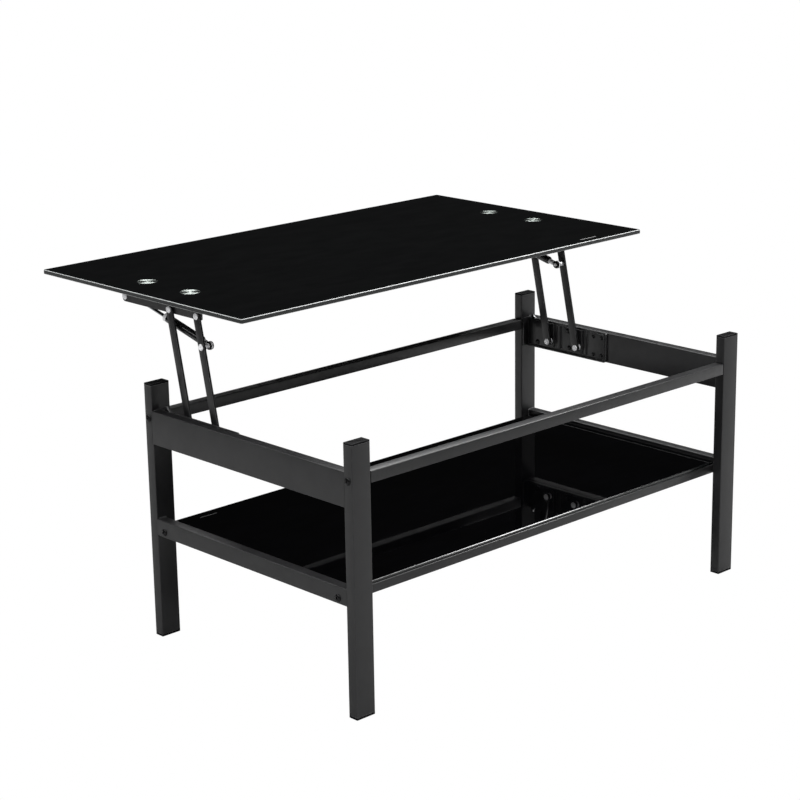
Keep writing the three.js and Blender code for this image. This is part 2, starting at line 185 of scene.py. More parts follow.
def block(name: str, low: Vector, high: Vector) -> Piece:
    """Adds a block between two opposite corners.

    Args:
        name: The piece's name.
        low: One corner.
        high: The opposite corner, on any side of the first.

    Returns:
        The settled block.
    """
    size = Vector(tuple(abs(b - a) for a, b in zip(low, high)))
    bpy.ops.mesh.primitive_cube_add(size=1, location=(low + high) / 2, scale=size)
    return christen(name)


def rod(name: str, start: Vector, end: Vector, radius: float, segments: int = 32) -> Piece:
    """Adds a cylinder between two points.

    Args:
        name: The piece's name.
        start: The middle of one end.
        end: The middle of the other end.
        radius: The cylinder's radius.
        segments: How many sides it has.

    Returns:
        The settled cylinder.
    """
    run = end - start
    turn = Z.rotation_difference(run.normalized()).to_euler()
    bpy.ops.mesh.primitive_cylinder_add(vertices=segments, radius=radius, depth=run.length,
                                        location=(start + end) / 2, rotation=turn)
    return christen(name)


@contextmanager
def editing(piece: Piece, picked: Picked, test: Test | None = None) -> Iterator[None]:
    """Opens a piece in edit mode, and closes it again.

    Args:
        piece: The piece to edit.
        picked: Whether edges or faces are picked.
        test: Which of them are: by an edge's two ends, or by a face's middle and normal.
            Without it everything is.
    """
    make_active(piece)
    bpy.ops.object.mode_set(mode="EDIT")
    bpy.ops.mesh.select_mode(type=picked.value)
    bpy.ops.mesh.select_all(action="DESELECT" if test else "SELECT")
    if test:
        mesh = bmesh.from_edit_mesh(piece.data)
        if picked is Picked.EDGES:
            for edge in mesh.edges:
                edge.select_set(test(edge.verts[0].co, edge.verts[1].co))
        else:
            for face in mesh.faces:
                face.select_set(test(face.calc_center_median(), face.normal))
        bmesh.update_edit_mesh(piece.data)
    yield
    bpy.ops.object.mode_set(mode="OBJECT")


def edges_along(axis: Axis, where: Where = lambda spot: True) -> Test:
    """A test for edges that run along an axis, with their middle where it should be."""
    return lambda a, b: (abs((b - a)[axis.value]) > 0.999 * (b - a).length > 0
                         and where((a + b) / 2))


def edges_by(axis: Axis, place: Vector) -> Test:
    """A test for edges that run along an axis and pass a place by less than a millimetre."""
    others = [other.value for other in Axis if other is not axis]
    return edges_along(axis, lambda spot: all(abs(spot[i] - place[i]) < MM for i in others))


def edges_level(axis: Axis, place: float) -> Test:
    """A test for edges that lie in one plane square to an axis."""
    return lambda a, b: all(abs(end[axis.value] - place) < 1e-6 for end in (a, b))


def faces_towards(way: Vector, where: Where = lambda spot: True) -> Test:
    """A test for faces that look one way, with their middle where it should be."""
    return lambda spot, normal: normal.dot(way) > 0.999 and where(spot)


def round_edges(piece: Piece, test: Test, width: float, segments: int = 3) -> None:
    """Bevels the edges that pass a test.

    Args:
        piece: The piece to shape.
        test: Which edges to bevel.
        width: How far the bevel reaches from the edge.
        segments: How many facets round it.
    """
    with editing(piece, Picked.EDGES, test):
        bpy.ops.mesh.bevel(offset=width, offset_type="OFFSET", segments=segments,
                           affect="EDGES", clamp_overlap=True)


def pull_faces(piece: Piece, test: Test, shift: Vector, inset: float = 0.0) -> None:
    """Insets the faces that pass a test, then extrudes them.

    Args:
        piece: The piece to shape.
        test: Which faces to move.
        shift: How far and which way they are extruded.
        inset: How far inside its outline the extrusion starts.
    """
    with editing(piece, Picked.FACES, test):
        if inset:
            bpy.ops.mesh.inset(thickness=inset, depth=0)
        bpy.ops.mesh.extrude_region_move(TRANSFORM_OT_translate={"value": shift})


def bar(name: str, low: Vector, high: Vector, axis: Axis, corner: float, facets: int = 5,
        lip: float = 0.0, lip_facets: int = 2) -> Piece:
    """Models a block whose edges along one axis are rounded, and the rims of its ends too.

    Args:
        name: The piece's name.
        low: Its lowest corner.
        high: Its highest corner.
        axis: The axis that it runs along.
        corner: The radius of its long edges.
        facets: How many facets round them.
        lip: The width of the bevel round each end, if any.
        lip_facets: How many facets round that.

    Returns:
        The bar.
    """
    piece = block(name, low, high)
    round_edges(piece, edges_along(axis), corner, facets)
    if lip:
        for end in (low, high):
            round_edges(piece, edges_level(axis, end[axis.value]), lip, lip_facets)
    return piece


def slice_across(piece: Piece, place: Vector, way: Vector, **options: bool) -> None:
    """Cuts a ring of edges where a plane crosses the piece."""
    with editing(piece, Picked.FACES):
        bpy.ops.mesh.bisect(plane_co=place, plane_no=way, **options)


def tidy_shell(piece: Piece) -> Piece:
    """Merges doubled points and turns every face outwards."""
    with editing(piece, Picked.FACES):
        bpy.ops.mesh.remove_doubles(threshold=1e-6)
        bpy.ops.mesh.normals_make_consistent(inside=False)
    return piece


def turned(name: str, start: Vector, way: Vector, steps: Sequence[Step],
           segments: int = 32) -> Piece:
    """Models a turned piece: a disc extruded and resized step by step along its axis.

    Args:
        name: The piece's name.
        start: The point on the axis that the steps are measured from.
        way: The axis, as a unit vector.
        steps: (distance along the axis, radius) pairs, in order.
        segments: How many sides it has.

    Returns:
        A closed piece with its faces outwards.
    """
    (along, radius), *rest = steps
    turn = Z.rotation_difference(way).to_euler()
    bpy.ops.mesh.primitive_circle_add(vertices=segments, radius=radius, fill_type="NGON",
                                      location=start + way * along, rotation=turn)
    piece = christen(name)
    with editing(piece, Picked.FACES):
        for reach, size in rest:
            shift = {"value": way * (reach - along)}
            bpy.ops.mesh.extrude_region_move(TRANSFORM_OT_translate=shift)
            bpy.ops.transform.resize(value=(size / radius,) * 3,
                                     center_override=start + way * reach)
            along, radius = reach, size
    return tidy_shell(piece)


def dome(base: float, height: float, radius: float, steps: int = 6) -> list[Step]:
    """The steps of a round dome from its rim to a small flat at its crown."""
    angles = [i / steps * math.radians(86) for i in range(steps + 1)]
    return [(base + height * math.sin(a), radius * math.cos(a)) for a in angles]


def combine(piece: Piece, tool: Piece, operation: str = "DIFFERENCE") -> None:
    """Joins a tool to a piece or cuts it away, and removes the tool.

    Args:
        piece: The piece that stays.
        tool: The shape that is used up.
        operation: UNION or DIFFERENCE.
    """
    make_active(piece)
    modifier = piece.modifiers.new("combine", "BOOLEAN")
    modifier.operation = operation
    modifier.solver = "EXACT"
    modifier.object = tool
    bpy.ops.object.modifier_apply(modifier=modifier.name)
    bpy.data.objects.remove(tool)


def gather(name: str, parts: Sequence[Piece]) -> Piece:
    """Joins several shells into one piece."""
    make_active(parts[0])
    for part in parts:
        part.select_set(True)
    bpy.ops.object.join()
    return christen(name)


def copy_to(piece: Piece, name: str, shift: Vector) -> Piece:
    """Copies a piece, with its own mesh, to another place."""
    make_active(piece)
    bpy.ops.object.duplicate(linked=False)
    bpy.context.active_object.location = shift
    return christen(name)


def mirror_to(piece: Piece, name: str) -> Piece:
    """Copies a piece to the other end of the table, mirrored across its middle."""
    make_active(piece)
    bpy.ops.object.duplicate(linked=False)
    bpy.context.active_object.scale = (-1, 1, 1)
    return tidy_shell(christen(name))


@dataclass(frozen=True)
class CrossHead:
    """A screw's domed head with a cross recess."""

    rim: float
    height: float
    facets: int
    arm: Step
    recess: Step

    def build(self, name: str, seat: Vector, way: Vector, radius: float) -> Piece:
        """Models the head.

        Args:
            name: The screw's name.
            seat: The middle of its seat.
            way: The unit vector along which it stands up.
            radius: The radius of the head.

        Returns:
            The screw's head.
        """
        steps = [(0.0, radius), *dome(self.rim, self.height, radius, self.facets)]
        piece = turned(name, seat, way, steps, 24)
        deep, clear = (way * along for along in self.recess)
        for along, across in ((way.yzx, way.zxy), (way.zxy, way.yzx)):
            half = along * self.arm[0] + across * self.arm[1]
            combine(piece, block("recess", seat - half + deep, seat + half + clear))
        return piece


# ---- finishes

Tone = tuple[float, float, float]
Socket = bpy.types.NodeSocket


@dataclass(frozen=True)
class Grain:
    """Noise: its features' size, its finer layers and its density along each axis."""

    size: float
    detail: float = 3.0
    stretch: Tone = (1, 1, 1)


@dataclass(frozen=True)
class Relief:
    """A bump: its grain, how much of it shows and how deep it is."""

    grain: Grain
    strength: float
    depth: float


@dataclass(frozen=True)
class Wear:
    """Rubbed edges with a painted edge highlight: their tone and width, and the grain that breaks
    them up.
    """

    tone: Tone
    width: float
    grain: Grain
    least: float
    most: float


@dataclass(frozen=True)
class Finish:
    """A finish: the slot it stands for and the material that shows it."""

    slot: Slot
    material: bpy.types.Material

    def on(self, piece: Piece) -> None:
        """Dresses a piece with the finish's material."""
        piece.data.materials.clear()
        piece.data.materials.append(self.material)


class Desk:
    """Lays out the nodes of one material."""

    def __init__(self, name: str) -> None:
        """Starts an empty material with its object coordinates."""
        self.material = bpy.data.materials.new(name)
        self.material.use_nodes = True
        self.tree = self.material.node_tree
        self.tree.nodes.clear()
        self.place = self.node("TexCoord", out="Object")

    def node(self, kind: str, inputs: dict[str | int, object] | None = None,
             out: str | int = 0, **settings: object) -> Socket:
        """Adds a node.

        Args:
            kind: The node's type.
            inputs: A value or another node's output for each input that is not left alone.
            out: The output that is wanted.
            settings: The node's properties.

        Returns:
            That output.
        """
        made = self.tree.nodes.new(f"ShaderNode{kind}")
        for key, value in settings.items():
            setattr(made, key, value)
        for key, value in (inputs or {}).items():
            if isinstance(value, Socket):
                self.tree.links.new(value, made.inputs[key])
            else:
                made.inputs[key].default_value = value
        return made.outputs[out]

    def end(self, surface: Socket) -> bpy.types.Material:
        """Gives the material its surface."""
        made = self.tree.nodes.new("ShaderNodeOutputMaterial")
        self.tree.links.new(surface, made.inputs["Surface"])
        return self.material

    def noise(self, grain: Grain) -> Socket:
        """Noise of one grain, in the object's own coordinates."""
        placed = self.node("Mapping", {"Vector": self.place, "Scale": grain.stretch})
        return self.node("TexNoise", {"Vector": placed, "Scale": 1 / grain.size,
                                      "Detail": grain.detail})

    def spread(self, source: Socket, low: float, high: float,
               start: float = 0.3, stop: float = 0.7) -> Socket:
        """Maps a value from start..stop to low..high."""
        return self.node("MapRange", {"Value": source, "From Min": start, "From Max": stop,
                                      "To Min": low, "To Max": high})

    def tones(self, source: Socket, under: Tone | Socket, over: Tone) -> Socket:
        """Blends a tone, or a colour that varies, into another tone by a value."""
        base = under if isinstance(under, Socket) else (*under, 1)
        return self.node("Mix", {"Factor": source, "A": base, "B": (*over, 1)}, "Result",
                         data_type="RGBA")

    def worn(self, tone: Socket, wear: Wear) -> Socket:
        """Lays a lighter tone over another one along the piece's outer edges: rubbed wear and a
        painted edge highlight.
        """
        rounded = self.node("Bevel", {"Radius": wear.width}, samples=4)
        true = self.node("NewGeometry", out="True Normal")
        dot = self.node("VectorMath", {0: rounded, 1: true}, "Value", operation="DOT_PRODUCT")
        edge = self.spread(dot, 1, 0, 0.82, 0.99)
        patches = self.spread(self.noise(wear.grain), wear.least, wear.most)
        both = self.node("Math", {0: edge, 1: patches}, operation="MULTIPLY")
        return self.tones(both, tone, wear.tone)

    def bump(self, height: Socket, strength: float, depth: float,
             under: dict[str, Socket]) -> dict[str, Socket]:
        """Turns a height from 0 to 1 into a normal, on top of one that may lie under it."""
        return {"Normal": self.node("Bump", {"Height": height, "Strength": strength,
                                             "Distance": depth, **under})}

    def painted(self, slot: Slot, inputs: dict[str, object]) -> Finish:
        """Ends the material with its shader's inputs and names its slot."""
        return Finish(slot, self.end(self.node("BsdfPrincipled", inputs)))


@dataclass(frozen=True)
class Recipe:
    """A finish's recipe: two tones and a gloss that follow a grain, then rubbed edges with a
    painted highlight, and reliefs.

    The gloss, as a range of roughness, follows a haze of its own where one is given.
    """

    name: str
    slot: Slot
    dark: Tone
    light: Tone
    grain: Grain
    gloss: tuple[float, float]
    reliefs: tuple[Relief, ...] = ()
    haze: Grain | None = None
    wear: Wear | None = None
    shader: dict[str, float] = field(default_factory=dict)

    def build(self) -> Finish:
        """Builds the finish."""
        desk = Desk(self.name)
        cloud = desk.noise(self.grain)
        tone = desk.tones(desk.spread(cloud, 0, 1), self.dark, self.light)
        if self.wear:
            tone = desk.worn(tone, self.wear)
        haze = desk.noise(self.haze) if self.haze else cloud
        normal: dict[str, Socket] = {}
        for relief in self.reliefs:
            height = desk.noise(relief.grain)
            normal = desk.bump(height, relief.strength, relief.depth, normal)
        gloss = desk.spread(haze, *self.gloss)
        return desk.painted(self.slot, {"Base Color": tone, "Roughness": gloss, **normal,
                                        **self.shader})


@dataclass(frozen=True)
class SpunSteel:
    """Steel turned on a lathe: fine rings about the piece's own middle and a radial sheen."""

    middle: Tone
    glazed: bool = False
    dark: Tone = (0.44, 0.49, 0.46)
    light: Tone = (0.66, 0.72, 0.68)
    ring: float = 0.35 * MM
    haze: Grain = Grain(5 * MM, 5)

    @property
    def finish(self) -> Finish:
        """The finish, built anew for each piece."""
        desk = Desk("spun_steel")
        tangent = desk.node("Tangent", direction_type="RADIAL", axis="Z")
        away = tuple(-c for c in self.middle)
        centre = desk.node("Mapping", {"Vector": desk.place, "Location": away})
        rings = desk.node("TexWave", {"Vector": centre, "Scale": 1 / (20 * self.ring),
                                      "Distortion": 0.6, "Detail": 3},
                          "Fac", wave_type="RINGS", rings_direction="Z")
        haze = desk.noise(self.haze)
        glaze = {"Coat Weight": 1.0, "Coat Roughness": 0.02} if self.glazed else {}
        return desk.painted(Slot.DISC_STEEL, {
            "Base Color": desk.tones(desk.spread(haze, 0, 1), self.dark, self.light),
            "Roughness": desk.spread(haze, 0.24, 0.32), "Tangent": tangent,
            "Metallic": 1.0, "Anisotropic": 0.92, "Anisotropic Rotation": 0.25,
            **desk.bump(rings, 0.2, 0.02 * MM, {}), **glaze})


SMEAR = Grain(60 * MM, 6, (1, 2.2, 1))
WAVES = (Relief(Grain(0.25, 1), 0.04, 0.3 * MM),)
STREAK = Grain(4 * MM, 4, (0.4, 0.4, 3))
RINGS = Grain(3 * MM, 4, (1, 4, 1))
PUNCHED = Grain(0.8 * MM, 4, (0.2, 1, 1))


class Look(Enum):
    """The finishes that the table's pieces share, each built when it is first asked for."""

    # Satin powder coat: a fine orange peel, faint cloudiness, and rubbed edges whose light tone
    # is partly a painted edge highlight.
    POWDER = Recipe(
        "powder_coat", Slot.POWDER_COAT, (0.0062, 0.0062, 0.0067), (0.0100, 0.0100, 0.0106),
        Grain(45 * MM, 4), (0.31, 0.40), haze=Grain(14 * MM, 5), shader={"IOR": 1.5},
        reliefs=(Relief(Grain(0.9 * MM, 2), 0.28, 0.03 * MM),
                 Relief(Grain(6 * MM, 2), 0.12, 0.08 * MM)),
        wear=Wear((0.24, 0.24, 0.245), 0.9 * MM, Grain(9 * MM, 6), 0.25, 0.9))
    # Moulded plastic with a fine spark-eroded grain, and lighter rubbed rims that are partly a
    # painted edge highlight.
    PLASTIC = Recipe(
        "moulded_plastic", Slot.BLACK_PLASTIC, (0.0040, 0.0040, 0.0043),
        (0.0058, 0.0058, 0.0061), Grain(12 * MM, 4), (0.46, 0.55), haze=Grain(2 * MM, 4),
        reliefs=(Relief(Grain(0.35 * MM, 3), 0.2, 0.012 * MM),),
        wear=Wear((0.12, 0.12, 0.123), 0.6 * MM, Grain(3 * MM, 5), 0.3, 1),
        shader={"IOR": 1.46, "Specular IOR Level": 0.03})
    # Black-backed tempered glass: mirror-smooth, with the faintest smears and waves.
    TOP_GLASS = Recipe(
        "top_glass_black", Slot.BLACK_GLASS, (0.0016, 0.0017, 0.0018),
        (0.0024, 0.0025, 0.0026), SMEAR, (0.012, 0.035), WAVES, shader={"IOR": 1.5})
    # The shelf's copy has a darker base than the top's: painted shade for the shelf lying under
    # the top.
    SHELF_GLASS = Recipe(
        "shelf_glass_black", Slot.BLACK_GLASS, (0.0003, 0.0003, 0.0004),
        (0.0006, 0.0006, 0.0008), SMEAR, (0.012, 0.035), WAVES, shader={"IOR": 1.36})
    # The glass's polished rim, and the pale matt chamfers ground along its edges; the pale tone
    # of the top's chamfers is partly a painted highlight along its edges.
    GLASS_EDGE = Recipe(
        "glass_edge", Slot.BLACK_GLASS, (0.004, 0.005, 0.005), (0.009, 0.010, 0.010), STREAK,
        (0.10, 0.22), (Relief(STREAK, 0.1, 0.02 * MM),), shader={"IOR": 1.5})
    ARRIS = Recipe(
        "ground_arris", Slot.BLACK_GLASS, (0.28, 0.29, 0.287), (0.34, 0.355, 0.35),
        Grain(25 * MM), (0.34, 0.48), (Relief(Grain(25 * MM), 0.1, 0.02 * MM),),
        shader={"IOR": 1.5})
    # Zinc plate on rivets and ferrules, lightly hazed; its near-white, mostly matt base is partly
    # a painted highlight for the plating's glare.
    ZINC = Recipe(
        "bright_zinc", Slot.RIVET_ZINC, (0.88, 0.89, 0.91), (0.98, 0.98, 1.0),
        Grain(1.6 * MM, 5), (0.40, 0.54), (Relief(Grain(0.5 * MM), 0.15, 0.02 * MM),),
        shader={"Metallic": 0.25})
    # Blackened steel of bolts and screws, rubbed brighter on its edges: partly wear, partly a
    # painted edge highlight.
    OXIDE = Recipe(
        "black_oxide", Slot.BLACK_BOLT, (0.002, 0.002, 0.0022), (0.005, 0.005, 0.0053),
        Grain(1.5 * MM, 4), (0.18, 0.30), (Relief(Grain(1.5 * MM, 4), 0.1, 0.02 * MM),),
        wear=Wear((0.16, 0.16, 0.165), 0.35 * MM, Grain(MM, 4), 0.2, 0.9),
        shader={"IOR": 1.45, "Specular IOR Level": 0.25})
    # Glossy enamel on the struts' tubes.
    ENAMEL = Recipe(
        "strut_enamel", Slot.STRUT_PAINT, (0.004, 0.004, 0.0045), (0.008, 0.008, 0.009),
        Grain(8 * MM, 4), (0.22, 0.32), (Relief(Grain(1.2 * MM, 2), 0.12, 0.02 * MM),),
        shader={"IOR": 1.5, "Coat Weight": 0.6, "Coat Roughness": 0.08})
    # Hard-chromed rod steel with the faint rings that polishing leaves.
    CHROME = Recipe(
        "polished_rod", Slot.STRUT_CHROME, (0.34, 0.35, 0.37), (0.50, 0.51, 0.53), RINGS,
        (0.07, 0.16), (Relief(RINGS, 0.05, 0.01 * MM),), shader={"Metallic": 1.0})
    # Pale print on the glass, thin enough for the black to show through.
    MARK = Recipe(
        "plain_mark", Slot.BLACK_GLASS, (0.17, 0.17, 0.17), (0.24, 0.24, 0.24),
        Grain(0.4 * MM), (0.3, 0.45), shader={"IOR": 1.5})
    FAINT_MARK = Recipe(
        "faint_mark", Slot.BLACK_GLASS, (0.02, 0.02, 0.02), (0.035, 0.035, 0.035),
        Grain(0.4 * MM), (0.3, 0.45), shader={"IOR": 1.5})
    # The bare edge that a punch leaves on pressed sheet, painted bright as a highlight where
    # light catches it.
    SHEARED = Recipe(
        "sheared_steel", Slot.POWDER_COAT, (0.16, 0.16, 0.165), (0.34, 0.34, 0.345), PUNCHED,
        (0.40, 0.55), (Relief(PUNCHED, 0.2, 0.02 * MM),), shader={"Metallic": 0.6})

    @cached_property
    def finish(self) -> Finish:
        """The finish itself."""
        return self.value.build()


def fit(piece: Piece, look: Look | SpunSteel, body: str, node: str = "",
        crease: float = 32.0) -> Piece:
    """Shades, dresses and mounts a finished piece.

    Args:
        piece: The finished piece.
        look: Its finish.
        body: The body that it rides on.
        node: The solid that it is shown instead of, if any.
        crease: Edges sharper than this many degrees stay crisp.

    Returns:
        The same piece.
    """
    make_active(piece)
    bpy.ops.object.shade_smooth_by_angle(angle=math.radians(crease))
    look.finish.on(piece)
    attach(piece, body)
    if node:
        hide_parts(node)
    LOG.info("%s: %d faces, on %s", piece.name, len(piece.data.polygons), body)
    return piece


def fit_pair(piece: Piece, name: str, look: Look, body: str, node: str = "",
             crease: float = 32.0) -> tuple[Piece, Piece]:
    """Fits a piece of the right-hand end and its mirror image at the left.

    Args:
        piece: The right-hand piece.
        name: The name of both, without their end.
        look: Their finish.
        body: The body that they ride on.
        node: The name of the solids that they stand for, without their end, if any.
        crease: Edges sharper than this many degrees stay crisp.

    Returns:
        The right-hand piece and the left-hand one.
    """
    pair = piece, mirror_to(piece, f"{name}_left")
    piece.name = f"{name}_right"
    for made, side in zip(pair, ("right", "left")):
        fit(made, look, body, node and f"{node}_{side}", crease)
    return pair


def dress_faces(piece: Piece, look: Look, where: Callable[[bpy.types.MeshPolygon], bool]) -> None:
    """Gives some of a piece's faces a material of their own.

    Args:
        piece: The piece, fitted already.
        look: The finish that has the material.
        where: Which faces get it.
    """
    piece.data.materials.append(look.finish.material)
    for face in piece.data.polygons:
        if where(face):
            face.material_index = len(piece.data.materials) - 1


# ---- legs, caps and feet

@dataclass
class Legs:
    """The four rectangular tube legs with their moulded end plugs."""

    corner: float = 1.5 * MM
    wall: float = 1.5 * MM
    hollow: float = 30 * MM
    cap_height: float = 3.0 * MM
    cap_chamfer: float = 1.0 * MM
    foot_height: float = 4.0 * MM
    foot_chamfer: float = 0.8 * MM
    clear: float = 0.3 * MM
    dish: float = 0.15 * MM
    dish_rim: float = 2.4 * MM

    def tube(self, node: str) -> Piece:
        """Models one leg: a rounded tube that is hollow at both ends."""
        piece = bar(f"{node}_tube", *corners(node), Axis.Z, self.corner)
        for way in (Z, -Z):
            pull_faces(piece, faces_towards(way), -way * self.hollow, self.wall)
        return piece

    def plug(self, node: str, height: float, chamfer: float, way: Vector) -> Piece:
        """Models a leg's end plug: a chamfered flange with a stem inside the tube.

        Args:
            node: The solid it stands for.
            height: The flange's height.
            chamfer: The width of the chamfer round its outer face.
            way: Up for a cap, down for a foot.

        Returns:
            The plug.
        """
        low, high = corners(node)
        outer = high.z if way.z > 0 else low.z
        piece = bar(f"{node}_plug", Vector((low.x, low.y, outer - way.z * height)),
                    Vector((high.x, high.y, outer)), Axis.Z, self.corner)
        round_edges(piece, edges_level(Axis.Z, outer), chamfer, 2)
        stem = high.z - low.z - height
        pull_faces(piece, faces_towards(-way), -way * stem, self.wall + self.clear)
        pull_faces(piece, faces_towards(way), -way * self.dish, self.dish_rim)
        return piece

    def build(self) -> None:
        """Builds the legs, caps and feet."""
        for _, _, place in places():
            leg, cap, foot = (f"{kind}_{place}" for kind in ("leg", "leg_cap", "foot"))
            fit(self.tube(leg), Look.POWDER, "base", leg)
            top = self.plug(cap, self.cap_height, self.cap_chamfer, Z)
            fit(top, Look.PLASTIC, "base", cap)
            bottom = self.plug(foot, self.foot_height, self.foot_chamfer, -Z)
            fit(bottom, Look.PLASTIC, "base", foot)


# ---- rails

@dataclass
class EndRails:
    """The upper and lower end rails, welded between the legs and ground flush outside."""

    corner: float = 1.5 * MM
    overlap: float = 2.3 * MM
    bead: float = 1.5 * MM
    ripple: float = 1.9 * MM
    swell: float = 0.28 * MM
    gap: float = 0.3 * MM

    def rail(self, node: str) -> Piece:
        """Models one rail, run into the legs' corners so that its outer face is unbroken."""
        low, high = corners(node)
        reach = Y * self.overlap
        return bar(f"{node}_tube", low - reach, high + reach, Axis.Y, self.corner)

    def seam(self, start: Vector, end: Vector) -> Piece:
        """Models a weld's bead: a thin rod whose ripples follow each other along it."""
        run = end - start
        count = round(run.length / self.ripple)
        pitch = run.length / count
        steps = [(0.0, self.bead * 0.5)]
        for i in range(count):
            steps += [((i + 0.5) * pitch, self.bead + self.swell), ((i + 1) * pitch, self.bead)]
        steps[-1] = (run.length, self.bead * 0.5)
        return turned("seam", start, run.normalized(), steps, 10)

    def welds(self, level: str, side: Side, row: Row) -> Piece:
        """Models the weld round the hidden sides of one joint: above, below and inside."""
        node = f"{level}_end_rail_{side.word}"
        low, high = corners(node)
        inner, outer = reach_x(node, side)
        y = (low.y - self.gap) if row is Row.FRONT else (high.y + self.gap)
        start = outer - side.value * 2.5 * self.corner
        beads = [self.seam(Vector((start, y, z)), Vector((inner, y, z)))
                 for z in (high.z, low.z)]
        behind_bracket = level == "upper" and row is Row.REAR
        if not behind_bracket:
            beads.append(self.seam(Vector((inner, y, low.z)), Vector((inner, y, high.z))))
        return gather(f"weld_{level}_{row.word}_{side.word}", beads)

    def build(self) -> None:
        """Builds the four rails and the welds of their eight joints."""
        for side in Side:
            for level in ("upper", "lower"):
                node = f"{level}_end_rail_{side.word}"
                fit(self.rail(node), Look.POWDER, "base", node)
                for row in Row:
                    fit(self.welds(level, side, row), Look.POWDER, "base")


@dataclass
class LongRails:
    """The bolted rails along the table's front and rear."""

    corner: float = 1.5 * MM
    lip: float = 1.2 * MM
    seam: float = 1.2 * MM

    def rail(self, node: str) -> Piece:
        """Models one rail, with the closed end that its bolt pulls against."""
        low, high = corners(node)
        gap = X * self.seam
        return bar(f"{node}_tube", low + gap, high - gap, Axis.X, self.corner, lip=self.lip)

    def build(self) -> None:
        """Builds the four rails."""
        for level in ("upper", "lower"):
            for row in Row:
                node = f"{level}_{row.word}_rail"
                fit(self.rail(node), Look.POWDER, "base", node)


# ---- frame bolts

@dataclass
class FrameBolts:
    """The eight button-head socket bolts that hold the long rails."""

    radius: float = 6.6 * MM
    height: float = 3.5 * MM
    rim: float = 0.5 * MM
    shank: float = 3.9 * MM
    socket: float = 2.9 * MM
    socket_depth: float = 2.2 * MM
    lead: float = 0.6 * MM
    pitch: float = 1.0 * MM
    thread: float = 0.45 * MM

    def model(self, node: str) -> Piece:
        """Models a bolt of the left-hand end, from its thread to the socket in its head.

        Args:
            node: The solid it stands for.

        Returns:
            The bolt.
        """
        inner, outer = reach_x(node, Side.LEFT)
        place, way = middle(node), -X
        seat = inner - outer - self.height
        steps = [(0.0, self.shank * 0.7), (self.lead, self.shank)]
        for i in range(int(seat / self.pitch) - 2):
            turn = self.lead + (i + 0.5) * self.pitch
            steps += [(turn, self.shank - self.thread), (turn + self.pitch / 2, self.shank)]
        steps += [(seat, self.shank), (seat, self.radius),
                  *dome(seat + self.rim, self.height - self.rim, self.radius)]
        piece = turned("bolt_model", at_x(place, inner), way, steps, 28)
        top = at_x(place, outer)
        combine(piece, rod("socket", top - way * self.socket_depth, top + way * MM,
                           self.socket, 6))
        return piece

    def build(self) -> None:
        """Builds the bolts: one of each length, then their copies."""
        for level in ("upper", "lower"):
            first = f"{level}_bolt_front_left"
            model = self.model(first)
            for row in Row:
                left, right = (f"{level}_bolt_{row.word}_{side.word}" for side in Side)
                copy = copy_to(model, f"{left}_turned", middle(left) - middle(first))
                mirrored = mirror_to(copy, f"{right}_mirrored")
                fit(copy, Look.OXIDE, "base", left)
                fit(mirrored, Look.OXIDE, "base", right)
            bpy.data.objects.remove(model)


# ---- glass

@dataclass
class GlassPane:
    """One pane of black glass with rounded corners and a polished, chamfered rim."""

    face: Look
    chamfered: Look
    node: str
    body: str
    corner: float = 3.5 * MM
    chamfer: float = 0.9 * MM

    def pane(self) -> Piece:
        """Models the pane: a slab with rounded corners and chamfers above and below."""
        low, high = corners(self.node)
        return bar(f"{self.node}_pane", low, high - Z * FILM, Axis.Z, self.corner, 6,
                   self.chamfer, 1)

    def build(self) -> None:
        """Builds the pane, with a polished rim between two ground chamfers."""
        piece = fit(self.pane(), self.face, self.body, self.node, 20)
        dress_faces(piece, Look.GLASS_EDGE, lambda face: abs(face.normal.z) < 0.1)
        # On the top the chamfers get the pale arris tone, partly a painted highlight along its
        # edges.
        dress_faces(piece, self.chamfered, lambda face: 0.1 <= abs(face.normal.z) <= 0.99)


@dataclass
class GlassMarks:
    """The small plain dash that is printed on each pane."""

    width: float = 2.0 * MM
    top_inset: Step = (131 * MM, 20 * MM)
    top_length: float = 44 * MM
    shelf_inset: Step = (66 * MM, 21 * MM)
    shelf_length: float = 38 * MM

    def dash(self, name: str, place: Vector, length: float) -> Piece:
        """Models a dash: a thin film with round ends that lies on the glass."""
        half = Vector((length / 2, self.width / 2, 0))
        return bar(name, place - half - Z * FILM, place + half, Axis.Z, self.width * 0.49)

    def build(self) -> None:
        """Builds the top's dash at its front right and the shelf's at its rear left."""
        low, high = corners("top_glass")
        top = Vector((high.x - self.top_inset[0], low.y + self.top_inset[1], high.z))
        fit(self.dash("top_mark", top, self.top_length), Look.MARK, "top")
        low, high = corners("shelf_glass")
        shelf = Vector((low.x + self.shelf_inset[0], high.y - self.shelf_inset[1], high.z))
        fit(self.dash("shelf_mark", shelf, self.shelf_length), Look.FAINT_MARK, "base")


